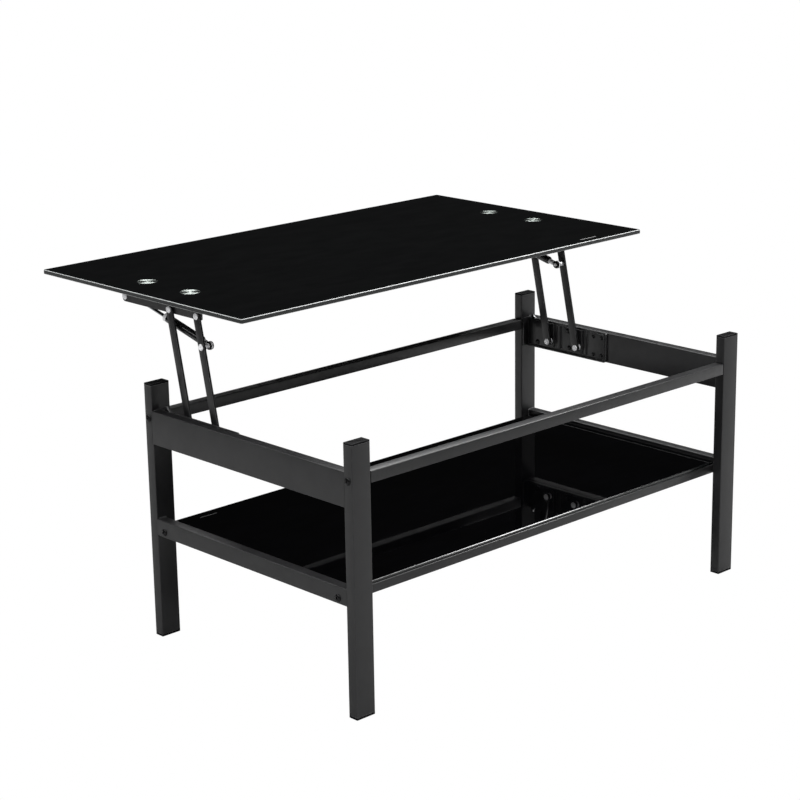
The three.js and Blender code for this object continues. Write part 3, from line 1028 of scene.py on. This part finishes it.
@dataclass
class BondingDiscs:
    """The four steel discs under the glass, their screws, and how they show from above."""

    rim: float = 0.4 * MM
    centre: float = 6 * MM
    groove: float = 0.3 * MM
    window: float = 18.5 * MM
    shade: float = 0.9 * MM
    lift: float = 0.25 * MM
    flange: float = 3 * MM
    screw: float = 4.2 * MM
    head: CrossHead = CrossHead(0.4 * MM, 1.8 * MM, 6, (2.2 * MM, 0.45 * MM),
                                (1.1 * MM, 2.6 * MM))

    def cup(self, node: str) -> Piece:
        """Models one disc with a softened rim and a shallow turned groove."""
        low, high = corners(node)
        radius, thick = (high.x - low.x) / 2, high.z - low.z
        place = middle(node)
        place.z = low.z
        steps = [(0.0, self.centre), (0.0, radius - 4 * MM), (self.groove, radius - 3.6 * MM),
                 (self.groove, radius - 2.6 * MM), (0.0, radius - 2.2 * MM),
                 (0.0, radius - self.rim), (self.rim, radius), (thick - self.rim, radius),
                 (thick, radius - self.rim), (thick, self.centre - MM)]
        return turned(f"{node}_cup", place, Z, steps, 56)

    def sight(self, node: str) -> Piece:
        """Models the disc's face as it shows through the glass's clear round window."""
        place = middle(node)
        place.z = corners("top_glass")[1].z - self.lift
        steps = [(0.0, self.window), (self.lift - 0.02 * MM, self.window),
                 (self.lift, self.window - 0.1 * MM), (self.lift, self.window - self.shade),
                 (self.lift, self.window * 0.6), (self.lift, self.window * 0.2)]
        return turned(f"{node}_sight", place, Z, steps, 64)

    def screw_head(self, node: str, side: Side) -> Piece:
        """Models the screw that holds the disc from under the bracket's level flange."""
        seat = middle(node)
        seat.z = corners(f"top_bracket_{side.word}")[1].z - self.flange
        return self.head.build(f"{node}_fixing", seat, -Z, self.screw)

    def build(self) -> None:
        """Builds the discs, their windows with the glass's dark edge, and their screws."""
        for side, _, place in places():
            node = f"disc_{place}"
            centre = middle(node)
            fit(self.cup(node), SpunSteel(tuple(centre)), "top", node)
            sight = fit(self.sight(node), SpunSteel(tuple(centre), True), "top")
            dress_faces(sight, Look.GLASS_EDGE, lambda face: (
                (face.center - centre).xy.length > self.window - self.shade))
            fit(self.screw_head(node, side), Look.OXIDE, "top")


# ---- lower brackets

@dataclass
class LowerBrackets:
    """The pressed plates inside the upper end rails that carry the lower pivots.

    Places along the plate are measured backwards from the frame's middle. The tables of
    pads (front, rear), ribs (place, width) and screws (place, height, radius) are in
    millimetres.
    """

    node: str = "lower_bracket"
    plate_low: float = 361.5 * MM
    plate_high: float = 421 * MM
    sheet: float = 3 * MM
    ear_front: float = 222.3 * MM
    ear_rear: float = 236.8 * MM
    hollow: float = 10 * MM
    hollow_above: float = 2.8 * MM
    rise: float = 2.6 * MM
    lip_height: float = 3.6 * MM
    lip_reach: float = 4.5 * MM
    sink: float = 0.5 * MM
    pads: tuple[Step, ...] = ((173, 223), (98, 147), (40, 80))
    ribs: tuple[Step, ...] = ((160, 13), (89, 10))
    screws: tuple[tuple[float, float, float], ...] = (
        (217, 373.6, 5.2), (135, 410, 5.2), (131, 376, 4.8), (67, 410.5, 4.0),
        (45.5, 410.5, 4.0), (67, 374, 4.0), (45.5, 375, 4.0))
    head: CrossHead = CrossHead(0.6 * MM, 1.5 * MM, 5, (1.8 * MM, 0.4 * MM),
                                (1.1 * MM, 3 * MM))

    def __post_init__(self) -> None:
        """Takes the right-hand plate's corners and the places that follow from them."""
        self.low, self.high = corners(f"{self.node}_right")
        self.inner = self.high.x - self.sheet
        self.pad_low = self.plate_low + 6.5 * MM
        self.pad_high = self.plate_high - 3.5 * MM
        self.centre = Vector((self.high.x, self.spot(self.ear_front),
                              self.high.z + self.hollow_above))

    def spot(self, along: float) -> float:
        """The Y of a place along the plate."""
        return (middle("leg_front_right").y + middle("leg_rear_right").y) / 2 + along

    def shell(self) -> Piece:
        """Models the flat plate with its pointed ear, hollowed in front of it."""
        low, high, inner = self.low, self.high, self.inner
        piece = block("lower_plate", Vector((inner, low.y, self.plate_low)),
                      Vector((high.x, high.y, self.plate_high)))
        front, rear = self.spot(self.ear_front), self.spot(self.ear_rear)
        for y in (front, rear):
            slice_across(piece, Vector((inner, y, self.plate_high)), Y)
        ear = faces_towards(Z, lambda place: front < place.y < rear)
        pull_faces(piece, ear, Z * (high.z - self.plate_high))
        tidy_shell(piece)
        round_edges(piece, edges_along(Axis.X, lambda place: place.y < low.y + MM), 4 * MM, 5)
        combine(piece, rod("hollow", self.centre - X * 8 * MM,
                           self.centre + X * 6 * MM, self.hollow, 48))
        return piece

    def pad(self, front: float, rear: float) -> Piece:
        """Models a raised pressing between two places along the plate."""
        crest = self.inner - self.rise
        far = Vector((self.inner + self.sink, self.spot(rear), self.pad_high))
        piece = bar("pad", Vector((crest, self.spot(front), self.pad_low)), far, Axis.X,
                    3 * MM, 4)
        round_edges(piece, edges_level(Axis.X, crest), 0.9 * MM, 3)
        return piece

    def rib(self, along: float, width: float) -> Piece:
        """Models an upright half-round rib that stiffens the plate."""
        start = Vector((self.inner, self.spot(along), self.pad_low))
        length = self.pad_high - self.pad_low
        steps = [(0.0, width * 0.2), (2 * MM, width * 0.5), (length - 2 * MM, width * 0.5),
                 (length, width * 0.2)]
        piece = turned("rib", start, Z, steps, 24)
        piece.scale = (0.45, 1, 1)
        piece.location = (self.inner * 0.55, 0, 0)
        return settle(piece)

    def heel(self) -> Piece:
        """Models the flange at the rear that stands in from the plate against the leg."""
        low, high = self.low, self.high
        piece = block("heel", Vector((low.x, high.y - self.sheet, self.plate_low)),
                      Vector((high.x - self.sink, high.y, self.plate_high)))
        round_edges(piece, edges_along(Axis.Y, lambda place: place.x < low.x + MM), 3 * MM, 5)
        return piece

    def lip(self) -> Piece:
        """Models the folded lip along the plate's lower edge."""
        edge = self.inner - self.lip_reach
        piece = block("lip", Vector((edge, self.low.y + 3 * MM, self.plate_low)), Vector(
            (self.inner + self.sink, self.high.y, self.plate_low + self.lip_height)))
        round_edges(piece, edges_along(Axis.Y, lambda place: place.x < edge + 0.5 * MM),
                    1.2 * MM, 3)
        return piece

    def punched(self, face: bpy.types.MeshPolygon) -> bool:
        """Whether a face is part of the hollow's punched edge, which is bare and painted bright
        as a highlight.
        """
        inside = (face.center - self.centre).yz.length < self.hollow + 0.1 * MM
        return inside and abs(face.normal.x) < 0.1

    def build(self) -> None:
        """Builds the right bracket and its screws, then their mirror images."""
        plate = self.shell()
        for front, rear in self.pads:
            combine(plate, self.pad(front * MM, rear * MM), "UNION")
        for along, width in self.ribs:
            combine(plate, self.rib(along * MM, width * MM), "UNION")
        combine(plate, self.lip(), "UNION")
        combine(plate, self.heel(), "UNION")
        pair = fit_pair(tidy_shell(plate), "lower_plate", Look.POWDER, "base", self.node, 40)
        for made in pair:
            # The punched edge gets a bright tone: a painted highlight on the hollow's rim.
            dress_faces(made, Look.SHEARED, self.punched)
        seat = self.inner - self.rise + 0.1 * MM
        for i, (along, height, radius) in enumerate(self.screws, 1):
            place = Vector((seat, self.spot(along * MM), height * MM))
            name = f"bracket_screw_{i}"
            screw = self.head.build(f"{name}_right", place, -X, radius * MM)
            fit_pair(screw, name, Look.OXIDE, "base")


# ---- arms and rivets

@dataclass
class LiftArms:
    """The four flat bars of the two parallelogram linkages."""

    width: float = 16 * MM
    edge: float = 0.7 * MM
    washer: float = 7.4 * MM
    washer_edge: float = 0.05 * MM
    washer_thickness: float = 0.25 * MM
    washer_gap: float = 0.28 * MM

    def arm(self, place: str) -> Piece:
        """Models one arm upright with round ends, then leans it to its place.

        Args:
            place: The corner of the table that it belongs to.

        Returns:
            The arm.
        """
        low, high = corners(f"arm_{place}")
        foot = at_x(middle(f"pivot_lower_{place}"), (low.x + high.x) / 2)
        run = at_x(middle(f"pivot_upper_{place}"), foot.x) - foot
        half = self.width / 2
        piece = bar(f"arm_{place}_bar", Vector((low.x, -half, -half)),
                    Vector((high.x, half, run.length + half)), Axis.X, half * 0.999, 12,
                    self.edge, 3)
        piece.rotation_euler = (-math.atan2(run.y, run.z), 0, 0)
        piece.location = (0, foot.y, foot.z)
        return settle(piece)

    def spacer(self, place: str, side: Side) -> Piece:
        """Models the nylon washer between an arm and the upright flange above it."""
        face = reach_x(f"arm_{place}", side)[0] - side.value * self.washer_gap
        spot = at_x(middle(f"pivot_upper_{place}"), face)
        edge, thick = self.washer_edge, self.washer_thickness
        steps = [(0.0, self.washer - edge), (edge, self.washer),
                 (thick - edge, self.washer), (thick, self.washer - edge)]
        return turned(f"washer_{place}", spot, X * side.value, steps)

    def build(self) -> None:
        """Builds the arms and their washers."""
        for side, _, place in places():
            fit(self.arm(place), Look.POWDER, f"arm_{place}", f"arm_{place}")
            fit(self.spacer(place, side), Look.PLASTIC, "top")


@dataclass
class Rivets:
    """The pivots' rivets: round heads with a small dimple where the tool set them."""

    head: float = 6.0 * MM
    height: float = 2.5 * MM
    rim: float = 0.5 * MM
    shank: float = 3.5 * MM
    shoulder: float = 6.5 * MM
    dimple: float = 1.1 * MM
    plate: float = 3 * MM
    bar: float = 4.6 * MM
    tail: float = 2.1 * MM

    def crown(self, base: float) -> list[Step]:
        """The steps of a set head, from its rim up to its dimple."""
        round_top = dome(base + self.rim, self.height - self.rim, self.head, 8)
        top = base + self.height - 0.05 * MM
        return [(base, self.head), *(step for step in round_top if step[1] > self.dimple),
                (top, self.dimple), (top - 0.3 * MM, self.dimple * 0.6),
                (top - 0.35 * MM, self.dimple * 0.2)]

    def model(self, node: str, side: Side) -> Piece:
        """Models a rivet.

        A lower pivot has its tail in the plate, a shoulder and a head inside. An upper one
        has a clinched tail inside the flange and a head outside. The arm's own is plain.

        Args:
            node: The solid it stands for.
            side: The end of the table.

        Returns:
            The rivet.
        """
        start, outer = reach_x(node, side)
        way = X * side.value
        base = abs(outer - start) - self.height
        steps = [(0.0, self.shank)]
        if node.startswith("pivot_lower"):
            start, way = outer, -way
            seat = base - self.bar
            steps += [(self.plate, self.shank), (self.plate, self.shoulder),
                      (seat, self.shoulder), (seat, self.shank)]
        elif node.startswith("pivot_upper"):
            steps = [(0.0, self.head - 1.4 * MM), (MM, self.head), (self.tail, self.head),
                     (self.tail, self.shank)]
        steps += [(base, self.shank), *self.crown(base)]
        return turned(f"{node}_rivet", at_x(middle(node), start), way, steps, 36)

    def build(self) -> None:
        """Builds the rivets of both linkages."""
        for side in Side:
            for row in Row:
                for level, body in (("lower", "base"), ("upper", "top")):
                    node = f"pivot_{level}_{row.word}_{side.word}"
                    fit(self.model(node, side), Look.ZINC, body, node)
            node = f"arm_rivet_{side.word}"
            fit(self.model(node, side), Look.ZINC, f"arm_front_{side.word}", node)


# ---- top brackets

@dataclass
class TopBrackets:
    """The angle under each end of the glass: one flange upright, one level."""

    thickness: float = 3 * MM
    nose: float = 7 * MM
    slope: float = 11 * MM
    toe: float = 3 * MM
    bend: float = 2.4 * MM
    heel: float = 0.6 * MM
    front_trim: float = 5.5 * MM

    def angle(self) -> Piece:
        """Models the right-hand angle: a plate with a rounded rear end, folded at its top."""
        low, high = corners("top_bracket_right")
        low = low + Y * self.front_trim
        inner = high.x - self.thickness
        piece = block("top_angle_right", Vector((inner, low.y, low.z)), high)
        for y, z, width, segments in ((high.y, low.z, self.nose, 8),
                                      (high.y, high.z, self.slope, 1),
                                      (low.y, low.z, self.toe, 3)):
            round_edges(piece, edges_by(Axis.X, Vector((0, y, z))), width, segments)
        fold = high.z - self.thickness
        slice_across(piece, Vector((inner, low.y, fold)), Z)
        flange = faces_towards(-X, lambda spot: spot.z > fold)
        pull_faces(piece, flange, -X * (inner - low.x))
        tidy_shell(piece)
        for z, width, segments in ((high.z, self.bend, 5), (low.z, self.heel, 2)):
            round_edges(piece, edges_by(Axis.Y, Vector((high.x, 0, z))), width, segments)
        return piece

    def build(self) -> None:
        """Builds the right angle and its mirror image."""
        fit_pair(self.angle(), "top_angle", Look.POWDER, "top", "top_bracket", 25)


# ---- gas struts

@dataclass
class GasStruts:
    """The two gas struts, from the eye on the front arm to the eye on the top's angle."""

    layer: float = 439 * MM
    eye: float = 7.2 * MM
    eye_half: float = 4 * MM
    bore: float = 3.7 * MM
    ferrule: float = 4.8 * MM
    tube: float = 7.5 * MM
    tube_start: float = 20 * MM
    tube_end: float = 116 * MM
    cap_end: float = 125 * MM
    rod: float = 3 * MM
    neck: float = 3.8 * MM
    pin: float = 3.3 * MM
    collar: float = 5.2 * MM
    play: float = 0.3 * MM
    cap_height: float = 2.5 * MM
    cap_dome: float = 2.2 * MM
    clip_half: float = 1.1 * MM

    def ring(self, name: str, place: Vector) -> Piece:
        """Models a strut's eye: a short thick ring about its pin."""
        way, half = X, self.eye_half
        steps = [(-half, self.eye - MM), (-half + 0.6 * MM, self.eye),
                 (half - 0.6 * MM, self.eye), (half, self.eye - MM)]
        piece = turned(name, place, way, steps, 40)
        combine(piece, rod("bore", place - way * 2 * half, place + way * 2 * half, self.bore))
        return piece

    def clip(self, name: str, place: Vector, way: Vector) -> Piece:
        """Models the spring clip that wraps an eye on the side away from the strut."""
        inner, outer = self.eye + 0.1 * MM, self.eye + 0.7 * MM
        steps = [(-self.clip_half, inner), (-self.clip_half, outer), (self.clip_half, outer),
                 (self.clip_half, inner)]
        piece = turned(name, place, X, steps, 40)
        slice_across(piece, place + way * 2 * MM, way, use_fill=True, clear_outer=True)
        out = X * 5 * MM
        combine(piece, rod("bore", place - out, place + out, self.eye + 0.08 * MM, 40))
        return piece

    def strut(self, side: Side) -> None:
        """Builds the tube with its fittings, and the rod with its own."""
        word = side.word
        start, end = (at_x(middle(f"strut_{pin}_pin_{word}"), side.value * self.layer)
                      for pin in ("arm", "top"))
        way = (end - start).normalized()
        reach = (end - start).length
        body, plunger = f"strut_cylinder_{word}", f"strut_rod_{word}"
        fit(self.ring(f"strut_lower_eye_{word}", start), Look.PLASTIC, body)
        fit(self.clip(f"strut_clip_{word}", start, way), Look.ZINC, body)
        foot, top, cap = self.tube_start, self.tube_end, self.cap_end
        wide, slim = self.tube, self.tube - 0.5 * MM
        neck = [(self.eye - MM, self.neck), (9 * MM, self.neck), (9.6 * MM, self.ferrule),
                (foot, self.ferrule), (foot, self.ferrule - MM)]
        barrel = [(foot, self.ferrule - 0.2 * MM), (foot, wide - 1.6 * MM),
                  (foot + 0.6 * MM, wide - 0.6 * MM), (foot + 2 * MM, wide), (top, wide)]
        gland = [(top, wide - 0.3 * MM), (top + 0.3 * MM, wide), (top + 3 * MM, wide),
                 (top + 3.4 * MM, slim), (top + 4 * MM, slim), (top + 4.4 * MM, wide),
                 (cap - 1.4 * MM, wide), (cap, wide - 1.6 * MM), (cap, self.rod + 0.2 * MM)]
        shaft = [(cap - 12 * MM, self.rod), (reach - 18 * MM, self.rod)]
        sleeve = [(reach - 20 * MM, self.rod + 0.1 * MM), (reach - 19.4 * MM, self.ferrule),
                  (reach - 9.5 * MM, self.ferrule), (reach - 9 * MM, self.neck),
                  (reach - self.eye + MM, self.neck)]
        for name, steps, segments, look, rides, node in (
                ("ferrule", neck, 32, Look.ZINC, body, ""),
                ("tube", barrel, 40, Look.ENAMEL, body, body),
                ("gland", gland, 40, Look.ZINC, body, ""),
                ("shaft", shaft, 28, Look.CHROME, plunger, plunger),
                ("sleeve", sleeve, 32, Look.ZINC, plunger, "")):
            piece = turned(f"strut_{name}_{word}", start, way, steps, segments)
            fit(piece, look, rides, node)
        fit(self.ring(f"strut_upper_eye_{word}", end), Look.PLASTIC, plunger)

    def pins(self, side: Side) -> None:
        """Builds the pin at each end of the strut."""
        for node, body, crown in (
                (f"strut_arm_pin_{side.word}", f"strut_cylinder_{side.word}", 3.6 * MM),
                (f"strut_top_pin_{side.word}", "top", 5 * MM)):
            inner, outer = reach_x(node, side)
            length = abs(outer - inner)
            cap = self.cap_height
            seat = cap + 2 * (self.eye_half + self.play)
            steps = [*dome(cap, -self.cap_dome, crown)[::-1], (cap, self.pin),
                     (seat, self.pin), (seat, self.collar)]
            if body == "top":
                rivets = Rivets()
                flange, base = seat + rivets.plate, length - rivets.height
                steps += [(flange, self.collar), (flange, self.pin), (base, self.pin),
                          *rivets.crown(base)]
            else:
                steps += [(length, self.collar)]
            piece = turned(f"{node}_turned", at_x(middle(node), inner),
                           X * side.value, steps)
            fit(piece, Look.ZINC, body, node)

    def build(self) -> None:
        """Builds both struts."""
        for side in Side:
            self.strut(side)
            self.pins(side)


# ---- studio

@dataclass(frozen=True)
class Softbox:
    """A square soft light: where it hangs over the frame's middle and how it shines.

    Its glow is how bright its face is, and the glass and the metal mirror it if they may.
    """

    name: str
    place: Tone
    size: float
    glow: float
    mirrored: bool = True

    def hang(self, centre: Vector, aim: Vector) -> None:
        """Hangs the light so that it faces a point."""
        data = bpy.data.lights.new(self.name, "AREA")
        data.shape = "SQUARE"
        data.size = self.size
        data.energy = self.glow * math.pi * self.size ** 2
        light = bpy.data.objects.new(self.name, data)
        bpy.context.scene.collection.objects.link(light)
        light.location = centre + Vector(self.place)
        light.rotation_euler = (aim - light.location).to_track_quat("-Z", "Y").to_euler()
        light.visible_camera = False
        light.visible_glossy = self.mirrored


@dataclass
class Studio:
    """A pale floor, a broad soft light overhead and the camera."""

    floor_size: float = 160.0
    floor_tone: float = 0.32
    dim_sky: float = 0.008
    lens: float = 95.45
    eye: tuple[float, float, float] = (-2.6158, -2.6259, 1.4433)
    yaw: float = 43.435
    pitch: float = 15.864
    roll: float = -0.913
    aim_height: float = 0.4
    boxes: tuple[Softbox, ...] = (
        Softbox("overhead", (0, 0, 3.6), 8.0, 3.0),
        Softbox("behind", (1.3, 2.9, 3.6), 2.6, 2.2),
        Softbox("rim", (3.2, -1.35, 3.75), 1.4, 30.0),
        Softbox("beside", (-4.2, -1.0, 1.8), 2.4, 3.6, False))

    def floor(self) -> None:
        """Lays the floor: white to look at, and pale in what the table mirrors."""
        bpy.ops.mesh.primitive_plane_add(size=self.floor_size, location=(0, 0, -0.4 * MM))
        plane = christen("floor")
        desk = Desk("pale_floor")
        paint = desk.node("BsdfDiffuse", {"Color": (*(self.floor_tone,) * 3, 1)})
        seen = desk.node("LightPath", out="Is Camera Ray")
        both = desk.node("MixShader", {0: seen, 1: paint, 2: desk.node("Emission")})
        plane.data.materials.append(desk.end(both))

    def sky(self) -> None:
        """Makes a world that is white behind the table and dim in its reflections."""
        world = bpy.data.worlds.new("studio")
        bpy.context.scene.world = world
        world.use_nodes = True
        tree = world.node_tree
        background = tree.nodes["Background"]
        path = tree.nodes.new("ShaderNodeLightPath")
        strength = tree.nodes.new("ShaderNodeMapRange")
        strength.inputs["To Min"].default_value = self.dim_sky
        strength.inputs["To Max"].default_value = 1.0
        tree.links.new(path.outputs["Is Camera Ray"], strength.inputs["Value"])
        tree.links.new(strength.outputs["Result"], background.inputs["Strength"])
        background.inputs["Color"].default_value = (1, 1, 1, 1)

    def camera(self, centre: Vector) -> None:
        """Stands the camera at the front left, looking a little down."""
        data = bpy.data.cameras.new("camera")
        data.lens = self.lens
        data.clip_end = 500
        seat = bpy.data.objects.new("camera", data)
        bpy.context.scene.collection.objects.link(seat)
        turn = (Matrix.Rotation(-math.radians(self.yaw), 4, "Z")
                @ Matrix.Rotation(math.radians(90 - self.pitch), 4, "X")
                @ Matrix.Rotation(math.radians(self.roll), 4, "Z"))
        seat.matrix_world = Matrix.Translation(centre + Vector(self.eye)) @ turn
        bpy.context.scene.camera = seat

    def build(self) -> None:
        """Builds the studio about the middle of the frame's footprint."""
        centre = (middle("leg_front_left") + middle("leg_rear_right")) / 2
        centre.z = 0
        self.floor()
        self.sky()
        aim = centre + Z * self.aim_height
        for box in self.boxes:
            box.hang(centre, aim)
        self.camera(centre)
        bpy.context.scene.view_settings.view_transform = "Standard"


# ---- the whole table


def main() -> None:
    """Builds every sub-assembly in order, then the studio."""
    logging.basicConfig(level=logging.INFO, format="%(name)s: %(message)s")
    parts = (
        Legs(),
        EndRails(),
        LongRails(),
        FrameBolts(),
        GlassPane(Look.SHELF_GLASS, Look.GLASS_EDGE, "shelf_glass", "base"),
        GlassPane(Look.TOP_GLASS, Look.ARRIS, "top_glass", "top"),
        GlassMarks(),
        BondingDiscs(),
        LowerBrackets(),
        LiftArms(),
        Rivets(),
        TopBrackets(),
        GasStruts(),
        Studio(),
    )
    for part in parts:
        part.build()
        LOG.info("%s done", type(part).__name__)


if __name__ == "__main__":
    main()
